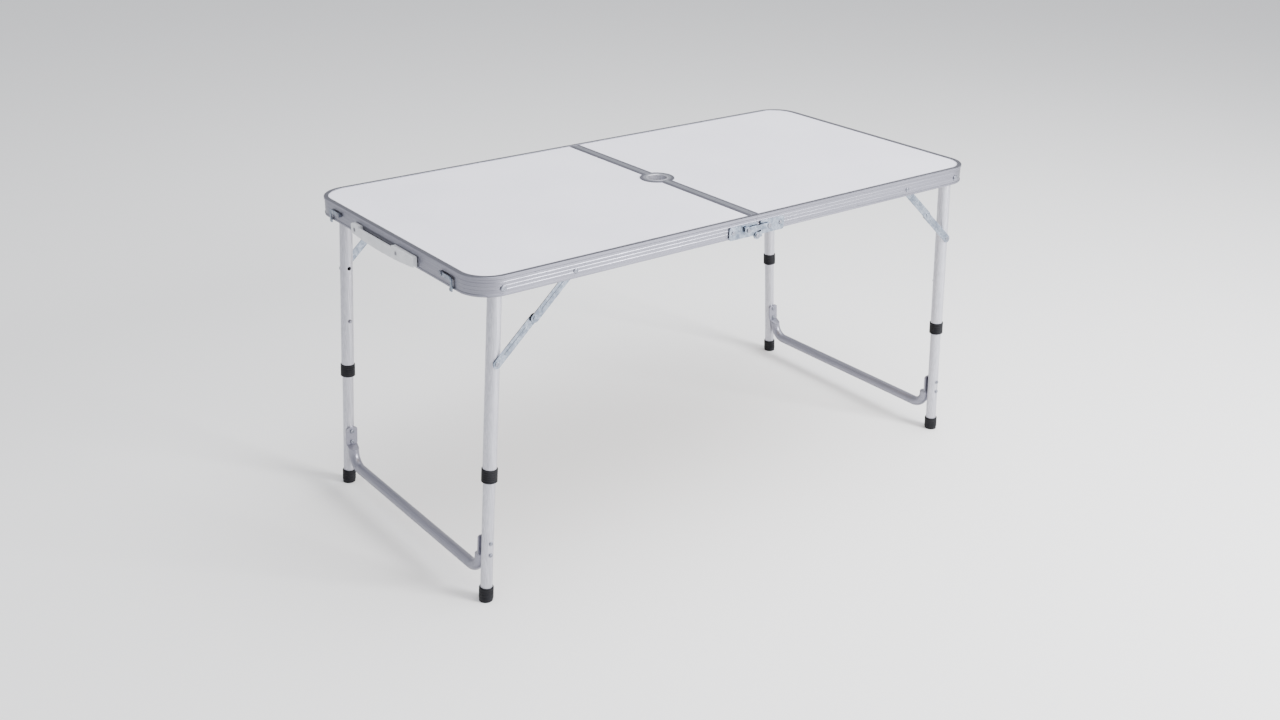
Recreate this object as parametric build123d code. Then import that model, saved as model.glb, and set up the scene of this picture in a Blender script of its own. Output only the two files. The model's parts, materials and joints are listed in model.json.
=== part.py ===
"""Folding aluminium camp kitchen table: two hinged top halves on two folding leg frames.

Frame: millimetres, +X along the top, +Y across it, +Z up. The origin is on the floor
under the centre of the top. The table stands open with its legs extended.
The front-left quarter is modelled, and the others are its mirror images.
"""
from build123d import *
from math import atan2, cos, degrees, hypot, radians, sin
import os

# Overall size
top_length = 1200.0
top_width = 600.0
table_height = 620.0
rail_height = 35.0
corner_radius = 58.0
seam_gap = 0.3                     # half of the gap between the two halves

half_length = top_length / 2
half_width = top_width / 2
rail_bottom = table_height - rail_height

# Rail extrusion: u runs inward from the outermost face, v up from the rail's bottom
bead_height = 4.2
web_face = 1.2                     # the web is set back behind the beads
web_back = 2.9
lip_width = 9.0
lip_thickness = 1.2
shelf_width = 11.0
shelf_thickness = 1.4
flange_width = 6.0
flange_thickness = 1.6
ridge_height = 0.3
ridge_levels = (11.0, 17.5, 24.0)
ridge_face = web_face - ridge_height

# Panel
panel_thickness = 4.6
panel_top = rail_height - lip_thickness
panel_bottom = panel_top - panel_thickness

# Seam rail and umbrella sleeve
seam_lip_width = 12.0
seam_web = 1.6
seam_end_clearance = 11.2
sleeve_bore_radius = 19.5
sleeve_radius = 22.9
umbrella_panel_radius = sleeve_radius + seam_web + 0.2

# Leg frames
pivot_x = 548.0
pivot_z = 598.0
leg_y = 272.0
splay = 3.8                        # degrees that a leg leans outward
leg_travel = 110.0                 # how far a lower leg slides into its upper leg
upper_radius = 12.5
upper_bore = 11.3
lower_radius = 11.0
lower_bore = 9.8
upper_top = 9.0
upper_end = 360.0
lower_top = 195.0
collar_start, collar_end = 336.0, 362.0
collar_radius = 14.5
foot_start = 572.0
foot_radius = 13.5
button_level = 242.0
button_radius = 3.5
button_hole_radius = 3.9
button_stroke = 3.2

# Cross bar between the two lower legs of one frame
bar_radius = 10.5
bar_wall = 1.2
bar_level = 551.0
bar_bend = 32.0
bracket_start, bracket_end = 472.5, 511.0
bracket_width = 24.0
bracket_thickness = 4.0
bolt_levels = (481.0, 504.0)
bolt_radius = 2.5

# Folding brace: two flat links, joined in the middle
brace_x = 405.0
brace_level = 138.0
link_width = 16.0
link_thickness = 1.8
upper_link_y = 289.8
lower_link_y = 285.5
running_clearance = 0.05

# Fasteners
leg_rivet_radius = 3.0
small_rivet_radius = 2.5
rivet_head_height = 1.5

# Centre hinge
hinge_axis_z = rail_bottom - 3.0
hinge_plate_thickness = 1.8
hinge_plate_end = 67.0
hinge_plate_top = rail_bottom + 24.0
hinge_rivet_x = 58.0
hinge_lobe_radius = 7.0
hinge_pin_radius = 3.0
plate_outer = half_width + hinge_plate_thickness
lobe_inner = plate_outer + 0.35
lobe_outer = lobe_inner + hinge_plate_thickness
hook_x, hook_z = 27.0, 597.0
stud_x, stud_z = -24.0, 597.0
stud_radius = 2.8
hook_inner = lobe_outer + 0.4
hook_outer = hook_inner + 1.6

# End furniture: carry handle and latches on the left end, catches on the right end
end_projection = 9.0
handle_ends = (-105.0, 127.0)
handle_screws_y = (-44.0, 113.0)
handle_gap = (-28.0, 98.0)        # free stretch of the handle, between its two lugs
handle_z = 597.0
handle_bow = 14.5
latch_y = 190.0
latch_z = 603.0
latch_plate = 1.8
latch_seat = 1.5                   # gap between the end rail and a latch
latch_reach = 34.0


def box_between(x0, x1, y0, y1, z0, z1):
    """Block between two corners."""
    centre = ((x0 + x1) / 2, (y0 + y1) / 2, (z0 + z1) / 2)
    return Pos(*centre) * Box(abs(x1 - x0), abs(y1 - y0), abs(z1 - z0))


def rod(start, direction, radius, length):
    """Solid cylinder that starts at a point and runs along a direction."""
    plane = Plane(origin=start, z_dir=direction)
    return plane * Cylinder(radius, length, align=(Align.CENTER, Align.CENTER, Align.MIN))


def dome(start, direction, radius, height):
    """Rounded rivet head that sits on a face and points along a direction."""
    head = Cylinder(radius, height, align=(Align.CENTER, Align.CENTER, Align.MIN))
    head = fillet(head.edges().group_by(Axis.Z)[-1], height * 0.75)
    return Plane(origin=start, z_dir=direction) * head


def mirrored_pair(piece):
    """A front piece and its mirror image at the back, as one group of separate solids."""
    return Compound([piece, mirror(piece, about=Plane.XZ)])


def to_back(piece):
    return mirror(piece, about=Plane.XZ)


def to_right(piece):
    return mirror(piece, about=Plane.YZ)


def leg_frame_place(y=-leg_y):
    """Leg coordinates to table coordinates: z is 0 at the pivot and runs down the leg."""
    return Pos(-pivot_x, y, pivot_z) * Rot(0, splay, 0)


# ---------------------------------------------------------------- top halves

def rail_section():
    """Section of the edge rail: web with fine ridges between two beads, lip, shelf, flange."""
    ridges = []
    for level in ridge_levels:
        ridges += [(web_face, level - 0.7), (web_face - ridge_height, level),
                   (web_face, level + 0.7)]
    top_bead = rail_height - 6.0
    return [
        (0.8, 0), (0, 0.8), (0, bead_height - 0.6), (web_face, bead_height + 0.6),
        *ridges,
        (web_face, top_bead), (0, top_bead + 1.2), (0, rail_height - 0.9), (0.9, rail_height),
        (lip_width - 0.6, rail_height), (lip_width, rail_height - 0.6),
        (lip_width, panel_top), (web_back, panel_top), (web_back, panel_bottom),
        (shelf_width, panel_bottom), (shelf_width, panel_bottom - shelf_thickness),
        (web_back, panel_bottom - shelf_thickness), (web_back, flange_thickness),
        (flange_width, flange_thickness), (flange_width, 0),
    ]


def rim():
    """Edge rail round three sides of the left half, bent round the two outer corners."""
    start = (-seam_gap, -half_width, rail_bottom)
    plane = Plane(origin=start, x_dir=(0, 1, 0), z_dir=(1, 0, 0))
    section = plane * make_face(Polyline(*rail_section(), close=True))
    path = FilletPolyline(
        start,
        (-half_length, -half_width, rail_bottom),
        (-half_length, half_width, rail_bottom),
        (-seam_gap, half_width, rail_bottom),
        radius=corner_radius,
    )
    body = sweep(section, path=path)
    holes = [(-pivot_x, pivot_z, leg_rivet_radius), (-brace_x, pivot_z, small_rivet_radius),
             (-hinge_rivet_x, hook_z, small_rivet_radius)]
    for x, z, radius in holes:
        body -= rod((x, -half_width - 1, z), (0, 1, 0), radius, top_width + 2)
    return body


def left_rim():
    """Left rim with the screw and pivot holes of the handle and the latches."""
    body = rim()
    holes = [(y, handle_z) for y in handle_screws_y] + [(-latch_y, latch_z), (latch_y, latch_z)]
    for y, z in holes:
        body -= rod((-half_length - 1, y, z), (1, 0, 0), 2.0, shelf_width)
    return body


def right_rim():
    """Right rim with the holes of the two catches."""
    body = to_right(rim())
    for side in (-1, 1):
        body -= rod((half_length + 1, side * latch_y, latch_z), (-1, 0, 0), 2.0, shelf_width)
    return body


def seam_section():
    """Section of the seam rail: u runs away from the seam, v up from the rail's bottom."""
    return [
        (0, 0), (0, rail_height - 0.8), (0.8, rail_height),
        (seam_lip_width - 0.8, rail_height), (seam_lip_width, rail_height - 0.8),
        (seam_lip_width, panel_top), (seam_web, panel_top), (seam_web, panel_bottom),
        (10.0, panel_bottom), (10.0, panel_bottom - shelf_thickness),
        (seam_web, panel_bottom - shelf_thickness), (seam_web, flange_thickness),
        (7.0, flange_thickness), (7.0, 0),
    ]


def seam_rail():
    """Rail along the seam, bowed round the umbrella sleeve at its middle."""
    reach = half_width - seam_end_clearance
    start = (-seam_gap, -reach, rail_bottom)
    plane = Plane(origin=start, x_dir=(-1, 0, 0), z_dir=(0, 1, 0))
    straight = extrude(plane * make_face(Polyline(*seam_section(), close=True)), 2 * reach)
    straight -= rod((0, 0, rail_bottom - 1), (0, 0, 1), sleeve_radius + 4, rail_height + 2)
    ring_points = [(sleeve_radius + u, rail_bottom + v) for u, v in seam_section()]
    ring = revolve(Plane.XZ * make_face(Polyline(*ring_points, close=True)), Axis.Z, 360)
    ring &= box_between(-80, -seam_gap, -80, 80, rail_bottom - 1, table_height + 1)
    return straight + ring


def panel():
    """Laminated board held in the groove of the rails, with the umbrella notch."""
    inset = web_back + 0.1
    outline = box_between(-half_length + inset, -seam_gap - seam_web - 0.1,
                          -half_width + inset, half_width - inset,
                          rail_bottom + panel_bottom, rail_bottom + panel_top)
    corners = outline.edges().filter_by(Axis.Z).group_by(Axis.X)[0]
    outline = fillet(corners, corner_radius - inset)
    notch = rod((0, 0, rail_bottom), (0, 0, 1), umbrella_panel_radius, rail_height)
    ends = [box_between(-seam_lip_width, 0, side * half_width, side * (half_width - inset - 0.5),
                        rail_bottom, table_height) for side in (-1, 1)]
    return outline - notch - ends[0] - ends[1]


def umbrella_sleeve():
    """Half of the metal sleeve that lines the umbrella hole."""
    profile = [
        (sleeve_bore_radius, rail_bottom + 2), (sleeve_radius, rail_bottom + 2),
        (sleeve_radius, table_height - 0.4), (sleeve_radius - 0.5, table_height),
        (sleeve_bore_radius + 1.0, table_height), (sleeve_bore_radius, table_height - 1.0),
    ]
    sleeve = revolve(Plane.XZ * make_face(Polyline(*profile, close=True)), Axis.Z, 360)
    return sleeve & box_between(-80, -seam_gap, -80, 80, rail_bottom, table_height + 1)


def rail_rivets():
    """Rivets that carry the legs and braces on the front rail, and the same at the back."""
    inward = (0, 1, 0)
    web = -half_width + ridge_face
    leg = rod((-pivot_x, web, pivot_z), inward, leg_rivet_radius, -web - leg_y + upper_radius + 1.2)
    leg += dome((-pivot_x, web, pivot_z), (0, -1, 0), 5.5, rivet_head_height)
    leg += dome((-pivot_x, -leg_y + upper_radius + 0.4, pivot_z), inward, 5.5, rivet_head_height)
    tail = -upper_link_y + running_clearance
    brace = rod((-brace_x, web, pivot_z), inward, small_rivet_radius, tail - web)
    brace += dome((-brace_x, web, pivot_z), (0, -1, 0), 4.5, rivet_head_height)
    brace += dome((-brace_x, tail, pivot_z), inward, 4.5, 1.0)
    return Compound([leg, to_back(leg), brace, to_back(brace)])


def pivot_spacers():
    """Bushes between the rail's web and the leg, and between the web and the brace."""
    bushes, rail = [], rim()
    for x, bore, radius, end in (
        (pivot_x, leg_rivet_radius, 6.0, leg_y + upper_radius + 0.4),
        (brace_x, small_rivet_radius, 5.0, upper_link_y + link_thickness + 0.1),
    ):
        start = half_width - web_back
        bush = rod((-x, -start, pivot_z), (0, 1, 0), radius, start - end)
        bushes.append(bush - rod((-x, -start - 1, pivot_z), (0, 1, 0), bore, start) - rail)
    return Compound([*bushes, *[to_back(bush) for bush in bushes]])


# ---------------------------------------------------------------- centre hinge

def plate_blank(x0, x1, y0, y1, radius):
    """Upright plate with rounded outer corners at its far end from the seam."""
    blank = box_between(x0, x1, y0, y1, hinge_axis_z + 1.0, hinge_plate_top)
    far = blank.edges().filter_by(Axis.Y).group_by(Axis.X)
    return fillet(far[0] if abs(x0) > abs(x1) else far[-1], radius)


def hinge_plate_left():
    """Left hinge plate: it lies on the rail's beads, and its lobe holds the hinge pin."""
    plate = plate_blank(-hinge_plate_end, -seam_gap, -plate_outer, -half_width, 5.0)
    plate += rod((0, -plate_outer, hinge_axis_z), (0, 1, 0), hinge_lobe_radius,
                 hinge_plate_thickness)
    for x, z, radius in ((0, hinge_axis_z, hinge_pin_radius),
                         (-hinge_rivet_x, hook_z, small_rivet_radius),
                         (stud_x, stud_z, 2.0)):
        plate -= rod((x, -plate_outer - 1, z), (0, 1, 0), radius, 5)
    return plate


def hinge_plate_right():
    """Right hinge plate: its lobe is stepped outward to lap over the left plate's lobe."""
    step = hinge_lobe_radius + 1.5
    plate = plate_blank(step, hinge_plate_end, -plate_outer, -half_width, 5.0)
    plate += box_between(step, step + 3, -lobe_outer, -plate_outer, hinge_axis_z + 1.0,
                         hinge_axis_z + 16)
    plate += box_between(0, step + 3, -lobe_outer, -lobe_inner, hinge_axis_z - 3.5,
                         hinge_axis_z + hinge_lobe_radius)
    plate += rod((0, -lobe_outer, hinge_axis_z), (0, 1, 0), hinge_lobe_radius,
                 hinge_plate_thickness)
    for x, z, radius in ((0, hinge_axis_z, hinge_pin_radius + running_clearance),
                         (hinge_rivet_x, hook_z, small_rivet_radius),
                         (hook_x, hook_z, 2.0)):
        plate -= rod((x, -lobe_outer - 1, z), (0, 1, 0), radius, 6)
    return plate


def plate_rivet(x):
    """Rivet through a hinge plate and the rail's web."""
    rivet = rod((x, -plate_outer, hook_z), (0, 1, 0), small_rivet_radius,
                plate_outer - half_width + web_back)
    rivet += dome((x, -plate_outer, hook_z), (0, -1, 0), 4.2, rivet_head_height)
    return rivet + dome((x, -half_width + web_back, hook_z), (0, 1, 0), 4.2, 1.2)


def left_hinge_rivets():
    """Plate rivets, hinge pins and lock studs of the left half."""
    pin = rod((0, -half_width, hinge_axis_z), (0, -1, 0), hinge_pin_radius,
              lobe_outer - half_width + 0.1)
    pin += dome((0, -lobe_outer - 0.1, hinge_axis_z), (0, -1, 0), 5.0, rivet_head_height)
    stud = rod((stud_x, -half_width, stud_z), (0, -1, 0), 2.0, hinge_plate_thickness)
    stud += rod((stud_x, -plate_outer, stud_z), (0, -1, 0), stud_radius,
                hook_outer - plate_outer + 0.4)
    stud += dome((stud_x, -hook_outer - 0.4, stud_z), (0, -1, 0), 4.6, rivet_head_height)
    pieces = [plate_rivet(-hinge_rivet_x), pin, stud]
    return Compound([*pieces, *[to_back(piece) for piece in pieces]])


def right_hinge_rivets():
    """Plate rivets and lock-hook pivots of the right half."""
    pivot = rod((hook_x, -half_width, hook_z), (0, -1, 0), 2.0, hook_outer - half_width + 0.1)
    pivot += rod((hook_x, -plate_outer, hook_z), (0, -1, 0), 4.2, hook_inner - plate_outer - 0.35)
    pivot += dome((hook_x, -hook_outer - 0.1, hook_z), (0, -1, 0), 4.6, rivet_head_height)
    pieces = [plate_rivet(hinge_rivet_x), pivot]
    return Compound([*pieces, *[to_back(piece) for piece in pieces]])


def lock_hook():
    """Hook that pivots on the right plate and drops over the stud of the left plate."""
    width, nose = 10.0, stud_x - 9.0
    bar = box_between(nose, hook_x, -hook_outer, -hook_inner, hook_z - 4, hook_z + 6)
    bar = fillet(bar.edges().filter_by(Axis.Y).group_by(Axis.X)[0], 3.0)
    bar += rod((hook_x, -hook_outer, hook_z + 0.5), (0, 1, 0), width / 2 + 0.5,
               hook_outer - hook_inner)
    thumb = box_between(nose - 1.5, nose + 8, -hook_outer - 2.2, -hook_inner, hook_z + 5,
                        hook_z + 8)
    bar += fillet(thumb.edges().filter_by(Axis.Y), 1.0)
    slot_half = stud_radius + 0.9
    bar -= box_between(stud_x - slot_half - 0.5, stud_x + slot_half, -hook_outer - 1,
                       -hook_inner + 1, hook_z - 10, stud_z)
    bar -= rod((stud_x - 0.25, -hook_outer - 1, stud_z), (0, 1, 0), slot_half + 0.25, 5)
    return bar - rod((hook_x, -hook_outer - 1, hook_z), (0, 1, 0), 2.0 + running_clearance, 5)


# ---------------------------------------------------------------- end furniture

def carry_handle():
    """Moulded strap handle: two lugs on the web, a bowed bar and a finger gap behind it."""
    outer = half_length + end_projection
    low, high = handle_ends
    middle = sum(handle_gap) / 2
    sides = Polyline((low, handle_z - 9), (low, handle_z + 10), (high, handle_z + 10),
                     (high, handle_z - 9))
    bow = ThreePointArc((high, handle_z - 9), (middle, handle_z - handle_bow), (low, handle_z - 9))
    face = make_face(sides.edges() + bow.edges())
    slab = extrude(Plane(origin=(-outer, 0, 0), x_dir=(0, 1, 0), z_dir=(1, 0, 0)) * face,
                   outer - half_length)
    slab = fillet(slab.edges().filter_by(Axis.X), 4.0)
    slab = fillet(slab.faces().sort_by(Axis.X)[0].outer_wire().edges(), 1.6)
    behind = half_length - 1
    slab -= box_between(-outer + 4.4, -behind, *handle_gap, handle_z - 30, handle_z + 30)
    slab -= box_between(-outer - 1, -behind, *handle_gap, handle_z + 6, handle_z + 30)
    for lug in ((low + 5, handle_gap[0]), (handle_gap[1], high - 5)):
        slab += box_between(-half_length - 1, -half_length + ridge_face, *lug,
                            rail_bottom + bead_height + 1.4, handle_z + 9)
    for y in handle_screws_y:
        slab -= rod((-outer - 1, y, handle_z), (1, 0, 0), 2.0, 20)
        slab -= rod((-outer - 1, y, handle_z), (1, 0, 0), 4.2, 3.6)
    return slab


def handle_screws():
    """Two pan-head screws sunk in the handle's lugs."""
    seat = -half_length - end_projection + 2.6
    screws = []
    for y in handle_screws_y:
        head = dome((seat, y, handle_z), (-1, 0, 0), 3.9, 1.8)
        for turn in (0, 90):
            head -= Pos(seat - 1.8, y, handle_z) * Rot(turn, 0, 0) * Box(1.6, 3.6, 0.7)
        screws.append(head + rod((seat, y, handle_z), (1, 0, 0), 2.0, 14))
    return Compound(screws)


def latch_pivots():
    """Shouldered rivets on which the two end latches turn."""
    plane_x = -half_length + ridge_face
    seat = -half_length - latch_seat
    rivet = rod((plane_x + 1.7, -latch_y, latch_z), (-1, 0, 0), 2.0, plane_x + 1.7 - seat + 2.2)
    rivet += rod((plane_x, -latch_y, latch_z), (-1, 0, 0), 5.0, plane_x - seat - 0.35)
    rivet += dome((seat - latch_plate - 0.35, -latch_y, latch_z), (-1, 0, 0), 4.6, rivet_head_height)
    return mirrored_pair(rivet)


def end_latch():
    """Steel hook that hangs on the left end and swings down onto a catch."""
    back = -half_length - latch_seat
    points = [(-latch_y + 6, latch_z + 4), (-latch_y - latch_reach + 4, latch_z + 4),
              (-latch_y - latch_reach - 3, latch_z + 1), (-latch_y - latch_reach - 3, latch_z - 22),
              (-latch_y - latch_reach + 6, latch_z - 22), (-latch_y - latch_reach + 6, latch_z - 17),
              (-latch_y - latch_reach + 3, latch_z - 14), (-latch_y - latch_reach + 3, latch_z - 4),
              (-latch_y + 6, latch_z - 4)]
    face = Plane(origin=(back, 0, 0), x_dir=(0, 1, 0), z_dir=(1, 0, 0)) * make_face(
        Polyline(*points, close=True))
    hook = extrude(face, -latch_plate)
    hook = fillet(hook.edges().filter_by(Axis.X), 1.8)
    return hook - rod((back - 5, -latch_y, latch_z), (1, 0, 0), 2.0 + running_clearance, 10)


def end_catches():
    """Shouldered studs on the right end that the latches hook onto."""
    plane_x = half_length - ridge_face
    stud = rod((plane_x - 1.7, -latch_y, latch_z), (1, 0, 0), 2.0, 3)
    stud += rod((plane_x, -latch_y, latch_z), (1, 0, 0), 6.0, 1.6)
    stud += rod((plane_x, -latch_y, latch_z), (1, 0, 0), 3.0, end_projection + ridge_face - 1.5)
    stud += dome((half_length + end_projection - 1.5, -latch_y, latch_z), (1, 0, 0), 5.0, 1.5)
    return mirrored_pair(stud)


# ---------------------------------------------------------------- leg frames

def leg_upper():
    """Upper leg tube, which turns on the rail rivet."""
    tube = rod((0, 0, upper_top), (0, 0, -1), upper_radius, upper_end + upper_top)
    tube = fillet(tube.edges().group_by(Axis.Z)[-1], 0.6)
    tube -= rod((0, 0, upper_top + 1), (0, 0, -1), upper_bore, upper_end + upper_top + 2)
    tube -= rod((0, -20, 0), (0, 1, 0), leg_rivet_radius + running_clearance, 40)
    tube -= rod((0, -20, -brace_level), (0, 1, 0), small_rivet_radius, 20)
    for level in (button_level, button_level - leg_travel):
        tube -= rod((0, 0, -level), (0, 1, 0), button_hole_radius, 20)
    return leg_frame_place() * tube


def leg_collar():
    """Ribbed plastic collar pressed on the end of the upper leg."""
    height = collar_end - collar_start
    pitch = height / 6
    points = [(upper_radius, 0), (collar_radius - 1.4, 0)]
    for rib in range(6):
        base = rib * pitch
        points += [(collar_radius - 0.9, base + 0.5), (collar_radius, base + 1.2),
                   (collar_radius, base + pitch - 1.0), (collar_radius - 0.9, base + pitch - 0.4)]
    points += [(collar_radius - 1.6, height), (lower_radius + 0.4, height),
               (lower_radius + 0.4, upper_end - collar_start), (upper_radius, upper_end - collar_start)]
    outline = [(r, -collar_start - s) for r, s in points]
    ring = revolve(Plane.XZ * make_face(Polyline(*outline, close=True)), Axis.Z, 360)
    return leg_frame_place() * ring


def brace_leg_rivets():
    """Blind rivets that hold the lower brace links on the upper legs."""
    shank_start = upper_bore + 0.2
    rivet = rod((0, -shank_start, -brace_level), (0, -1, 0), small_rivet_radius,
                lower_link_y + link_thickness - leg_y - shank_start + running_clearance)
    shoulder = rod((0, -shank_start, -brace_level), (0, -1, 0), 4.2,
                   lower_link_y - leg_y - shank_start - 0.1)
    shoulder -= rod((0, 0, 0), (0, 0, -1), upper_radius, upper_end)
    rivet += shoulder
    rivet += dome((0, -(lower_link_y + link_thickness - leg_y + running_clearance), -brace_level),
                  (0, -1, 0), 4.4, 1.0)
    return mirrored_pair(leg_frame_place() * rivet)


def leg_lower():
    """Lower leg tube, which slides in the upper one."""
    length = foot_start + 20 - lower_top
    tube = rod((0, 0, -lower_top), (0, 0, -1), lower_radius, length)
    tube -= rod((0, 0, -lower_top + 1), (0, 0, -1), lower_bore, length + 2)
    for level in (button_level, button_level + leg_travel):
        tube -= rod((0, 0, -level), (0, 1, 0), button_hole_radius + 0.4, 20)
    for level in bolt_levels:
        tube -= rod((0, -20, -level), (0, 1, 0), bolt_radius, 40)
    return leg_frame_place() * tube


def leg_foot():
    """Ribbed plastic foot cap, cut level where it stands on the floor."""
    length = (pivot_z + 8) / cos(radians(splay)) - foot_start
    foot = rod((0, 0, -foot_start), (0, 0, -1), foot_radius - 0.8, length)
    for rib in range(4):
        band = rod((0, 0, -foot_start - 1.5 - rib * 5.6), (0, 0, -1), foot_radius, 3.8)
        foot += fillet(band.edges(), 0.5)
    foot -= rod((0, 0, -foot_start + 1), (0, 0, -1), lower_radius, 21)
    foot = leg_frame_place() * foot
    return foot & box_between(-700, -500, -350, -200, 0, 100)


def cross_bar():
    """Bent cross bar with flattened upright ends that bolt to the two lower legs."""
    upright_y = leg_y - lower_radius - bracket_thickness / 2 - bar_radius + 1
    path = FilletPolyline((0, -upright_y, -bar_level + bar_bend + 4),
                          (0, -upright_y, -bar_level),
                          (0, upright_y, -bar_level),
                          (0, upright_y, -bar_level + bar_bend + 4), radius=bar_bend)
    start = Plane(origin=(0, -upright_y, -bar_level + bar_bend + 4), z_dir=(0, 0, -1))
    bar = sweep(start * (Circle(bar_radius) - Circle(bar_radius - bar_wall)), path=path)
    plate_y = -(leg_y - lower_radius - bracket_thickness / 2)
    low = -bar_level + bar_bend + 4
    neck = loft([Plane(origin=(0, -upright_y, low)) * Ellipse(bar_radius, bar_radius),
                 Plane(origin=(0, plate_y, -bracket_end + 2)) * Ellipse(bracket_width / 2,
                                                                    bracket_thickness / 2)])
    plate = box_between(-bracket_width / 2, bracket_width / 2, plate_y - bracket_thickness / 2,
                        plate_y + bracket_thickness / 2, -bracket_end, -bracket_start)
    plate = fillet(plate.edges().filter_by(Axis.Y), 5.0)
    for level in bolt_levels:
        plate -= rod((0, plate_y - 5, -level), (0, 1, 0), bolt_radius, 10)
    end = plate + neck
    return leg_frame_place(y=0) * (bar + end + to_back(end))


def cross_bar_bolts():
    """Round-head bolts through the cross bar's flattened ends and the lower legs."""
    bolts = []
    inner_face = lower_radius + bracket_thickness
    for level in bolt_levels:
        bolt = rod((0, -lower_radius - 0.4, -level), (0, 1, 0), bolt_radius,
                   inner_face + lower_radius + 0.4)
        bolt += dome((0, inner_face, -level), (0, 1, 0), 4.6, 2.4)
        bolt += dome((0, -lower_radius - 0.1, -level), (0, -1, 0), 4.0, 2.0)
        bolts.append(leg_frame_place() * bolt)
    return Compound([*bolts, *[to_back(bolt) for bolt in bolts]])


def leg_button():
    """Push button of the leg lock, in the hole of the upper leg."""
    button = rod((0, upper_bore + 0.1, -button_level), (0, 1, 0), button_radius,
                 upper_radius - upper_bore + button_stroke - 0.1)
    button = fillet(button.edges().group_by(Axis.Y)[-1], 1.6)
    return leg_frame_place() * button


# ---------------------------------------------------------------- braces

def brace_points():
    """Rail end, middle joint and leg end of a brace, in the table's XZ plane."""
    rail_end = (-brace_x, pivot_z)
    leg_end = (-pivot_x - brace_level * sin(radians(splay)),
               pivot_z - brace_level * cos(radians(splay)))
    span = hypot(rail_end[0] - leg_end[0], rail_end[1] - leg_end[1])
    stowed_gap = (pivot_x - brace_level) - brace_x
    upper_length = (span + stowed_gap) / 2
    share = upper_length / span
    middle = tuple(a + (b - a) * share for a, b in zip(rail_end, leg_end))
    return rail_end, middle, leg_end


def link(start, end, y_inner, bore):
    """Flat steel link with round ends, a stiffening rib and a hole at its start."""
    length = hypot(end[0] - start[0], end[1] - start[1])
    angle = degrees(atan2(end[1] - start[1], end[0] - start[0]))
    blank = extrude(SlotCenterToCenter(length, link_width), link_thickness)
    rib = extrude(SlotCenterToCenter(length - 44, 4.0), link_thickness + 0.7)
    rib = fillet(rib.edges().group_by(Axis.Z)[-1], 0.6)
    blank += rib
    blank -= Pos(-length / 2, 0, -1) * Cylinder(bore, 10, align=(Align.CENTER,) * 2 + (Align.MIN,))
    centre = ((start[0] + end[0]) / 2, -y_inner, (start[1] + end[1]) / 2)
    plane = Plane(origin=centre, x_dir=(cos(radians(angle)), 0, sin(radians(angle))),
                  z_dir=(0, -1, 0))
    return plane * blank


def brace_upper_link():
    """Brace link between the rail and the middle joint, with its half of the joint rivet."""
    rail_end, middle, _ = brace_points()
    piece = link(rail_end, middle, upper_link_y, small_rivet_radius + running_clearance)
    outer = upper_link_y + link_thickness
    piece += dome((middle[0], -outer, middle[1]), (0, -1, 0), 4.4, 1.2)
    return piece + rod((middle[0], -upper_link_y, middle[1]), (0, 1, 0), 3.0, 1.0)


def brace_lower_link():
    """Brace link between the leg and the middle joint, with its half of the joint rivet."""
    _, middle, leg_end = brace_points()
    piece = link(leg_end, middle, lower_link_y, small_rivet_radius + running_clearance)
    outer = lower_link_y + link_thickness
    return piece + rod((middle[0], -outer, middle[1]), (0, -1, 0), 3.0, 0.9)


# ---------------------------------------------------------------- the nodes

nodes = {
    "left_panel": panel(),
    "left_rim": left_rim(),
    "left_seam_rail": seam_rail(),
    "left_umbrella_sleeve": umbrella_sleeve(),
    "left_rail_rivets": rail_rivets(),
    "left_pivot_spacers": pivot_spacers(),
    "left_front_hinge_plate": hinge_plate_left(),
    "left_back_hinge_plate": to_back(hinge_plate_left()),
    "left_hinge_rivets": left_hinge_rivets(),
    "carry_handle": carry_handle(),
    "handle_screws": handle_screws(),
    "latch_pivots": latch_pivots(),
    "front_end_latch": end_latch(),
    "back_end_latch": to_back(end_latch()),
    "right_panel": to_right(panel()),
    "right_rim": right_rim(),
    "right_seam_rail": to_right(seam_rail()),
    "right_umbrella_sleeve": to_right(umbrella_sleeve()),
    "right_rail_rivets": to_right(rail_rivets()),
    "right_pivot_spacers": to_right(pivot_spacers()),
    "right_front_hinge_plate": hinge_plate_right(),
    "right_back_hinge_plate": to_back(hinge_plate_right()),
    "right_hinge_rivets": right_hinge_rivets(),
    "front_lock_hook": lock_hook(),
    "back_lock_hook": to_back(lock_hook()),
    "end_catches": end_catches(),
}

paired_leg_parts = {
    "leg_upper": leg_upper(),
    "leg_collar": leg_collar(),
    "leg_lower": leg_lower(),
    "leg_foot": leg_foot(),
    "leg_button": leg_button(),
    "brace_upper_link": brace_upper_link(),
    "brace_lower_link": brace_lower_link(),
}
frame_parts = {
    "brace_leg_rivets": brace_leg_rivets(),
    "cross_bar": cross_bar(),
    "cross_bar_bolts": cross_bar_bolts(),
}

for name, piece in paired_leg_parts.items():
    nodes[f"left_front_{name}"] = piece
    nodes[f"left_back_{name}"] = to_back(piece)
    nodes[f"right_front_{name}"] = to_right(piece)
    nodes[f"right_back_{name}"] = to_right(to_back(piece))
for name, piece in frame_parts.items():
    nodes[f"left_{name}"] = piece
    nodes[f"right_{name}"] = to_right(piece)

os.makedirs("parts", exist_ok=True)
for name, piece in nodes.items():
    export_step(piece, f"parts/{name}.step")
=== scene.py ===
import json
from math import cos, radians, sin

import bmesh
import bpy
from mathutils import Matrix, Vector


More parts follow.
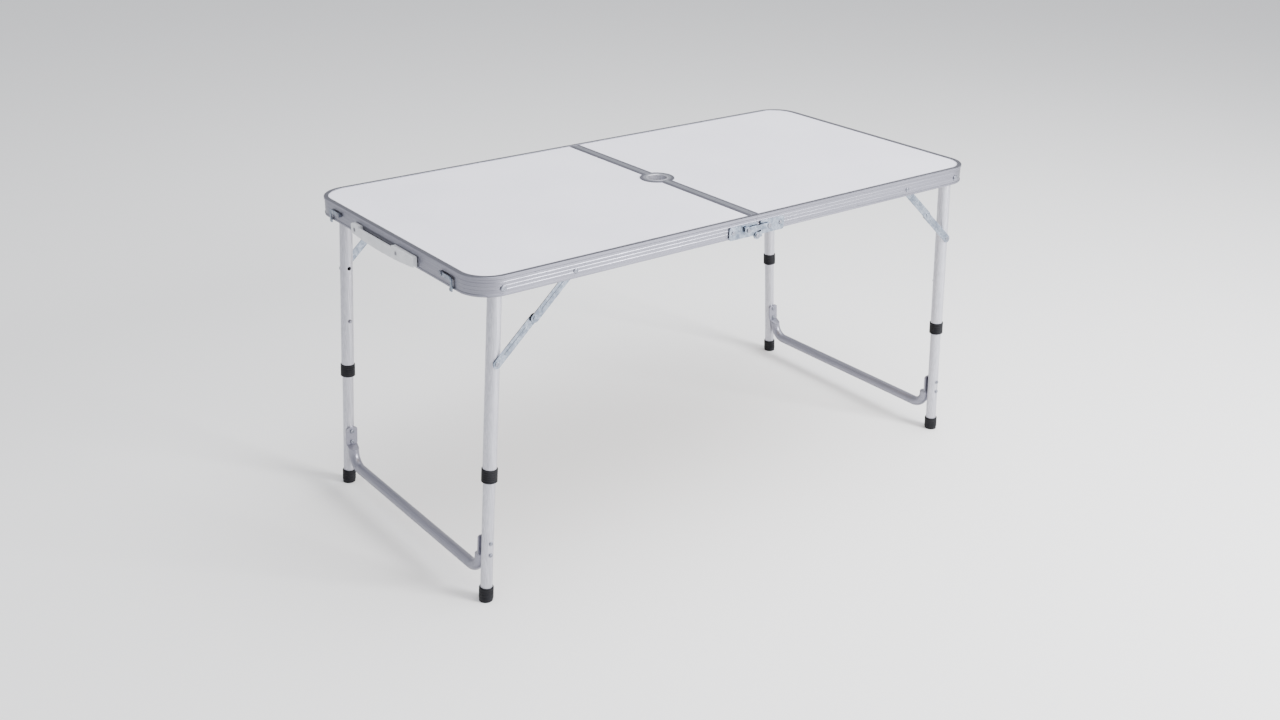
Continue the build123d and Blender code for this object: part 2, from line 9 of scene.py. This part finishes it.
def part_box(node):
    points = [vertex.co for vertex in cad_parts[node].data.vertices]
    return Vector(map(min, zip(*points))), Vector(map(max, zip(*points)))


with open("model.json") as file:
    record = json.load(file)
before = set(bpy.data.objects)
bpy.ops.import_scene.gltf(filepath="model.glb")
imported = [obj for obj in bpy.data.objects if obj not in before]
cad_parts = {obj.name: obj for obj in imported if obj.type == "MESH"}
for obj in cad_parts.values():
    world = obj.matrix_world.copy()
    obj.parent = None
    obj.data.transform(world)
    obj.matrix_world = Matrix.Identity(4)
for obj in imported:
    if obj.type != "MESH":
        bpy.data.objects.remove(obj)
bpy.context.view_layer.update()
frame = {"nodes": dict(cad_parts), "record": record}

# Camera: the table seen from its front left corner, from above
camera_azimuth = radians(-37.48)
camera_elevation = radians(23.99)
camera_roll = radians(0.75)
camera_distance = 2.904
camera_target = Vector((-0.037, 0.0, 0.230))
camera_lens = 38.96

# The top's outline, from the frame
rim_low, rim_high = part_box("left_rim")
half_length = -rim_low[0]
half_width = rim_high[1]
corner_radius = 0.058


# ------------------------------------------------------------------ camera, floor, light

def add_camera():
    data = bpy.data.cameras.new("camera")
    data.lens = camera_lens
    data.sensor_width = 36.0
    data.clip_end = 50.0
    camera = bpy.data.objects.new("camera", data)
    bpy.context.scene.collection.objects.link(camera)
    level = cos(camera_elevation)
    back = Vector((sin(camera_azimuth) * level, -cos(camera_azimuth) * level,
                   sin(camera_elevation)))
    right = (-back).cross(Vector((0, 0, 1))).normalized()
    up = right.cross(-back)
    tilted_right = right * cos(camera_roll) + up * sin(camera_roll)
    tilted_up = up * cos(camera_roll) - right * sin(camera_roll)
    turn = Matrix((tilted_right, tilted_up, back)).transposed()
    place = Matrix.Translation(camera_target + back * camera_distance)
    camera.matrix_world = place @ turn.to_4x4()
    bpy.context.scene.camera = camera


def add_area_light(name, place, target, size, power, colour=(1.0, 1.0, 1.0)):
    data = bpy.data.lights.new(name, "AREA")
    data.shape = "RECTANGLE"
    data.size, data.size_y = size
    data.energy = power
    data.color = colour
    light = bpy.data.objects.new(name, data)
    bpy.context.scene.collection.objects.link(light)
    light.location = place
    aim = Vector(target) - Vector(place)
    light.rotation_euler = aim.to_track_quat("-Z", "Y").to_euler()


def add_world():
    world = bpy.data.worlds.new("studio")
    bpy.context.scene.world = world
    world.use_nodes = True
    background = world.node_tree.nodes["Background"]
    background.inputs["Color"].default_value = (0.95, 0.965, 1.0, 1.0)
    background.inputs["Strength"].default_value = 0.85


def add_floor():
    mesh = bpy.data.meshes.new("floor")
    builder = bmesh.new()
    bmesh.ops.create_grid(builder, x_segments=4, y_segments=4, size=12.0)
    builder.to_mesh(mesh)
    builder.free()
    floor = bpy.data.objects.new("floor", mesh)
    floor.location.z = -0.0005
    bpy.context.scene.collection.objects.link(floor)
    material, shader, _ = new_material("floor", (0.94, 0.94, 0.945), 0.8)
    mesh.materials.append(material)


# ------------------------------------------------------------------ material kit

class Nodes:
    """Short names for the few shader nodes that the finishes are made of."""

    def __init__(self, tree):
        self.tree = tree
        self.object_space = tree.nodes.new("ShaderNodeTexCoord").outputs["Object"]

    def link(self, source, target):
        if isinstance(source, (int, float, tuple)):
            target.default_value = source
        else:
            self.tree.links.new(source, target)

    def math(self, operation, first, second=0.0, third=0.0):
        node = self.tree.nodes.new("ShaderNodeMath")
        node.operation = operation
        for slot, value in zip(node.inputs, (first, second, third)):
            self.link(value, slot)
        return node.outputs[0]

    def split(self, vector):
        node = self.tree.nodes.new("ShaderNodeSeparateXYZ")
        self.link(vector, node.inputs[0])
        return node.outputs

    def join(self, x, y, z):
        node = self.tree.nodes.new("ShaderNodeCombineXYZ")
        for slot, value in zip(node.inputs, (x, y, z)):
            self.link(value, slot)
        return node.outputs[0]

    def stretch(self, vector, scale):
        node = self.tree.nodes.new("ShaderNodeMapping")
        self.link(vector, node.inputs["Vector"])
        node.inputs["Scale"].default_value = scale
        return node.outputs[0]

    def noise(self, vector, scale=1.0, detail=3.0, roughness=0.55):
        node = self.tree.nodes.new("ShaderNodeTexNoise")
        self.link(vector, node.inputs["Vector"])
        node.inputs["Scale"].default_value = scale
        node.inputs["Detail"].default_value = detail
        node.inputs["Roughness"].default_value = roughness
        return node.outputs["Fac"]

    def cells(self, vector, scale):
        node = self.tree.nodes.new("ShaderNodeTexVoronoi")
        self.link(vector, node.inputs["Vector"])
        node.inputs["Scale"].default_value = scale
        return node.outputs

    def remap(self, value, low, high, new_low, new_high):
        node = self.tree.nodes.new("ShaderNodeMapRange")
        for slot, number in zip(node.inputs, (value, low, high, new_low, new_high)):
            self.link(number, slot)
        return node.outputs[0]

    def blend(self, factor, first, second):
        node = self.tree.nodes.new("ShaderNodeMix")
        node.data_type = "RGBA"
        self.link(factor, node.inputs[0])
        for slot, colour in ((node.inputs[6], first), (node.inputs[7], second)):
            self.link((*colour, 1.0) if isinstance(colour, tuple) else colour, slot)
        return node.outputs[2]

    def bump(self, height, distance, strength=1.0, normal=None):
        node = self.tree.nodes.new("ShaderNodeBump")
        node.inputs["Strength"].default_value = strength
        node.inputs["Distance"].default_value = distance
        self.link(height, node.inputs["Height"])
        if normal is not None:
            self.link(normal, node.inputs["Normal"])
        return node.outputs[0]


def new_material(name, colour, roughness, metallic=0.0):
    material = bpy.data.materials.new(name)
    material.use_nodes = True
    shader = material.node_tree.nodes["Principled BSDF"]
    shader.inputs["Base Color"].default_value = (*colour, 1.0)
    shader.inputs["Roughness"].default_value = roughness
    shader.inputs["Metallic"].default_value = metallic
    return material, shader, Nodes(material.node_tree)


def inset_from_rim(nodes, position):
    """Distance inward from the top's rounded outline, in metres."""
    x, y, _ = nodes.split(position)
    over_x = nodes.math("SUBTRACT", nodes.math("ABSOLUTE", x), half_length - corner_radius)
    over_y = nodes.math("SUBTRACT", nodes.math("ABSOLUTE", y), half_width - corner_radius)
    corner = nodes.join(nodes.math("MAXIMUM", over_x, 0.0), nodes.math("MAXIMUM", over_y, 0.0), 0.0)
    length = nodes.tree.nodes.new("ShaderNodeVectorMath")
    length.operation = "LENGTH"
    nodes.link(corner, length.inputs[0])
    inside = nodes.math("MINIMUM", nodes.math("MAXIMUM", over_x, over_y), 0.0)
    distance = nodes.math("ADD", length.outputs["Value"], inside)
    return nodes.math("SUBTRACT", corner_radius, distance)


def laminate():
    """White melamine laminate: fine stipple, faint mottle, light scuffs, and a painted shade line
    where the top meets the rim.
    """
    material, shader, n = new_material("laminate", (0.85, 0.84, 0.94), 0.38)
    place = n.object_space
    mottle = n.noise(place, 7.0, 4.0)
    clean = n.blend(n.remap(mottle, 0.3, 0.7, 0.0, 1.0), (0.835, 0.825, 0.925), (0.870, 0.860, 0.955))
    inset = inset_from_rim(n, place)
    # painted shade: a dark band 9 to 12.5 mm in from the rim, broken up by noise, stands in for the
    # shadow line where the laminate meets the lip
    painted_rim_shade = n.remap(inset, 0.009, 0.0125, 0.55, 0.0)
    painted_rim_shade = n.math("MULTIPLY", painted_rim_shade, n.remap(n.noise(place, 60.0), 0.35, 0.7, 0.3, 1.0))
    top = n.blend(painted_rim_shade, clean, (0.42, 0.42, 0.45))
    scuff = n.noise(n.stretch(place, (9.0, 240.0, 1.0)), 1.0, 2.0)
    scuff = n.remap(scuff, 0.68, 0.80, 0.0, 0.35)
    top = n.blend(scuff, top, (0.90, 0.89, 0.95))
    normal = n.tree.nodes.new("ShaderNodeNewGeometry").outputs["True Normal"]
    facing = n.remap(n.split(normal)[2], -0.5, 0.5, 1.0, 0.0)
    fibre = n.noise(n.stretch(place, (500.0, 90.0, 300.0)), 1.0, 4.0)
    under = n.blend(fibre, (0.36, 0.28, 0.20), (0.50, 0.41, 0.31))
    n.link(n.blend(facing, top, under), shader.inputs["Base Color"])
    stipple = n.noise(place, 1400.0, 2.0)
    rough = n.math("ADD", n.remap(mottle, 0.3, 0.7, 0.33, 0.42), n.math("MULTIPLY", scuff, 0.3))
    n.link(rough, shader.inputs["Roughness"])
    n.link(n.bump(stipple, 0.00006, 0.5), shader.inputs["Normal"])
    shader.inputs["Specular IOR Level"].default_value = 0.45
    return material


def rail_metal(name, bright, dark, across, roughness):
    """Satin extrusion: fine lines that run along the rail, dull patches and small nicks."""
    material, shader, n = new_material(name, bright, roughness, metallic=1.0)
    place = n.object_space
    x, y, z = n.split(place)
    if across == "rim":
        side = inset_from_rim(n, place)
        along = n.math("ADD", n.math("MULTIPLY", x, 3.0), n.math("MULTIPLY", y, 3.0))
    else:
        side, along = x, n.math("MULTIPLY", y, 4.0)
    lines = n.join(n.math("MULTIPLY", side, 2600.0), along, n.math("MULTIPLY", z, 2600.0))
    grain = n.noise(lines, 1.0, 3.0, 0.6)
    coarse = n.noise(n.join(n.math("MULTIPLY", side, 420.0), along, n.math("MULTIPLY", z, 420.0)), 1.0)
    patches = n.noise(place, 11.0, 4.0)
    tone = n.math("ADD", n.math("MULTIPLY", grain, 0.55), n.math("MULTIPLY", coarse, 0.45))
    colour = n.blend(n.remap(tone, 0.35, 0.65, 0.0, 1.0), dark, bright)
    if across == "seam":   # painted highlight along the seam's middle, where the crown of the rounded bead would catch the light; also lighter round the umbrella hole
        crown_highlight_and_hole_ring = n.remap(n.math("ABSOLUTE", x), 0.0035, 0.0060, 0.75, 0.0)
        around = n.math("SQRT", n.math("ADD", n.math("MULTIPLY", x, x), n.math("MULTIPLY", y, y)))
        crown_highlight_and_hole_ring = n.math("MAXIMUM", crown_highlight_and_hole_ring, n.remap(around, 0.026, 0.030, 0.8, 0.0))
        colour = n.blend(crown_highlight_and_hole_ring, colour, (0.42, 0.43, 0.48))
    if across == "rim":    # painted shade: the lip is darkened where it faces up, standing in for the dark look of its top at a grazing view
        normal = n.tree.nodes.new("ShaderNodeNewGeometry").outputs["True Normal"]
        painted_lip_shade = n.remap(n.split(normal)[2], 0.6, 0.95, 0.0, 0.6)
        colour = n.blend(painted_lip_shade, colour, (0.10, 0.10, 0.125))
    nicks = n.remap(n.noise(place, 170.0, 2.0), 0.70, 0.76, 0.0, 0.6)
    colour = n.blend(nicks, colour, tuple(0.55 * value for value in dark))
    n.link(colour, shader.inputs["Base Color"])
    rough = n.math("ADD", n.remap(patches, 0.3, 0.7, roughness - 0.05, roughness + 0.06),
                   n.math("MULTIPLY", grain, 0.08))
    n.link(rough, shader.inputs["Roughness"])
    fine = n.bump(grain, 0.00003, 0.6)
    n.link(n.bump(nicks, 0.0001, 0.4, fine), shader.inputs["Normal"])
    return material


def tube_metal(name, bright, dark, along_y):
    """Drawn tube: lengthwise draw lines, handling marks and a few scratches."""
    material, shader, n = new_material(name, bright, 0.24, metallic=0.75)
    place = n.object_space
    if along_y:
        x, y, z = n.split(place)
        place = n.join(x, z, y)
    draw = n.noise(n.stretch(place, (1500.0, 1500.0, 5.0)), 1.0, 3.0)
    marks = n.noise(n.stretch(place, (60.0, 60.0, 14.0)), 1.0, 5.0)
    scratch = n.remap(n.noise(n.stretch(place, (700.0, 700.0, 40.0)), 1.0, 2.0), 0.70, 0.78, 0.0, 0.5)
    colour = n.blend(n.remap(draw, 0.35, 0.65, 0.0, 1.0), dark, bright)
    colour = n.blend(scratch, colour, tuple(0.75 * value for value in dark))
    n.link(colour, shader.inputs["Base Color"])
    n.link(n.remap(marks, 0.3, 0.7, 0.30, 0.44), shader.inputs["Roughness"])
    n.link(n.bump(draw, 0.00003, 0.5), shader.inputs["Normal"])
    return material


def zinc_plate():
    """Zinc on steel: bluish, with soft spangle and uneven gloss."""
    material, shader, n = new_material("zinc_plate", (0.30, 0.34, 0.40), 0.32, metallic=1.0)
    place = n.object_space
    spangle = n.cells(place, 260.0)["Color"]
    tone = n.noise(place, 45.0, 5.0)
    cell_tone = n.split(spangle)[0]
    mixed = n.math("ADD", n.math("MULTIPLY", tone, 0.75), n.math("MULTIPLY", cell_tone, 0.25))
    colour = n.blend(n.remap(mixed, 0.3, 0.7, 0.0, 1.0), (0.13, 0.155, 0.20), (0.29, 0.325, 0.385))
    n.link(colour, shader.inputs["Base Color"])
    n.link(n.remap(mixed, 0.3, 0.7, 0.42, 0.24), shader.inputs["Roughness"])
    n.link(n.bump(n.noise(place, 900.0, 3.0), 0.00004, 0.5), shader.inputs["Normal"])
    return material


def rivet_metal(name, bright, dark):
    """Plated rivets and screws: darker in patches, with a turned or struck surface."""
    material, shader, n = new_material(name, bright, 0.33, metallic=1.0)
    place = n.object_space
    struck = n.noise(place, 380.0, 4.0)
    n.link(n.blend(n.remap(struck, 0.35, 0.65, 0.0, 1.0), dark, bright), shader.inputs["Base Color"])
    n.link(n.remap(struck, 0.3, 0.7, 0.28, 0.46), shader.inputs["Roughness"])
    n.link(n.bump(struck, 0.0001, 0.35), shader.inputs["Normal"])
    return material


def moulded_plastic(name, light, dark, roughness, texture, gloss):
    """Injection-moulded plastic: fine texture, slight changes of shade and gloss."""
    material, shader, n = new_material(name, light, roughness)
    place = n.object_space
    shade = n.noise(place, 55.0, 4.0)
    n.link(n.blend(n.remap(shade, 0.3, 0.7, 0.0, 1.0), dark, light), shader.inputs["Base Color"])
    skin = n.noise(place, texture, 2.0)
    n.link(n.remap(shade, 0.3, 0.7, roughness + 0.07, roughness - 0.08), shader.inputs["Roughness"])
    n.link(n.bump(skin, 0.00008, 0.5), shader.inputs["Normal"])
    shader.inputs["Specular IOR Level"].default_value = gloss
    return material


# ------------------------------------------------------------------ finish of the CAD nodes

finishes = {
    "laminate": laminate(),
    "rail_aluminium": rail_metal("rail_metal", (0.30, 0.30, 0.35), (0.20, 0.20, 0.24), "rim", 0.36),
    "seam_aluminium": rail_metal("seam_metal", (0.20, 0.20, 0.24), (0.13, 0.13, 0.165), "seam", 0.40),
    "tube_aluminium": tube_metal("tube_metal", (0.57, 0.57, 0.62), (0.36, 0.36, 0.41), False),
    "cross_bar": tube_metal("bar_metal", (0.30, 0.30, 0.35), (0.20, 0.20, 0.25), True),
    "zinc_steel": zinc_plate(),
    "rivet_steel": rivet_metal("rivet_metal", (0.30, 0.31, 0.36), (0.13, 0.14, 0.17)),
    "button_steel": rivet_metal("button_metal", (0.30, 0.30, 0.34), (0.16, 0.16, 0.19)),
    "handle_plastic": moulded_plastic("handle_plastic", (0.70, 0.71, 0.74), (0.61, 0.62, 0.65),
                                      0.42, 900.0, 0.5),
    "black_plastic": moulded_plastic("black_plastic", (0.014, 0.014, 0.017),
                                     (0.006, 0.006, 0.008), 0.48, 1100.0, 0.16),
}


def finish_cad_nodes():
    slots = {row["node"]: row["material_slot"] for row in frame["record"]["subparts"]}
    for name, piece in frame["nodes"].items():
        material = finishes["cross_bar" if name.endswith("cross_bar") else slots[name]]
        if not piece.material_slots:
            piece.data.materials.append(material)
        for slot in piece.material_slots:
            slot.material = material


# ------------------------------------------------------------------ the scene

add_camera()
add_floor()
add_world()
add_area_light("key", (1.6, -3.4, 1.9), (0.0, -0.2, 0.4), (1.3, 1.3), 300)
add_area_light("top", (0.8, -0.7, 3.4), (0.1, 0.0, 0.5), (4.2, 3.4), 175)
add_area_light("edge", (-2.6, 2.6, 1.3), (-0.2, 0.0, 0.4), (0.8, 1.8), 4)
finish_cad_nodes()
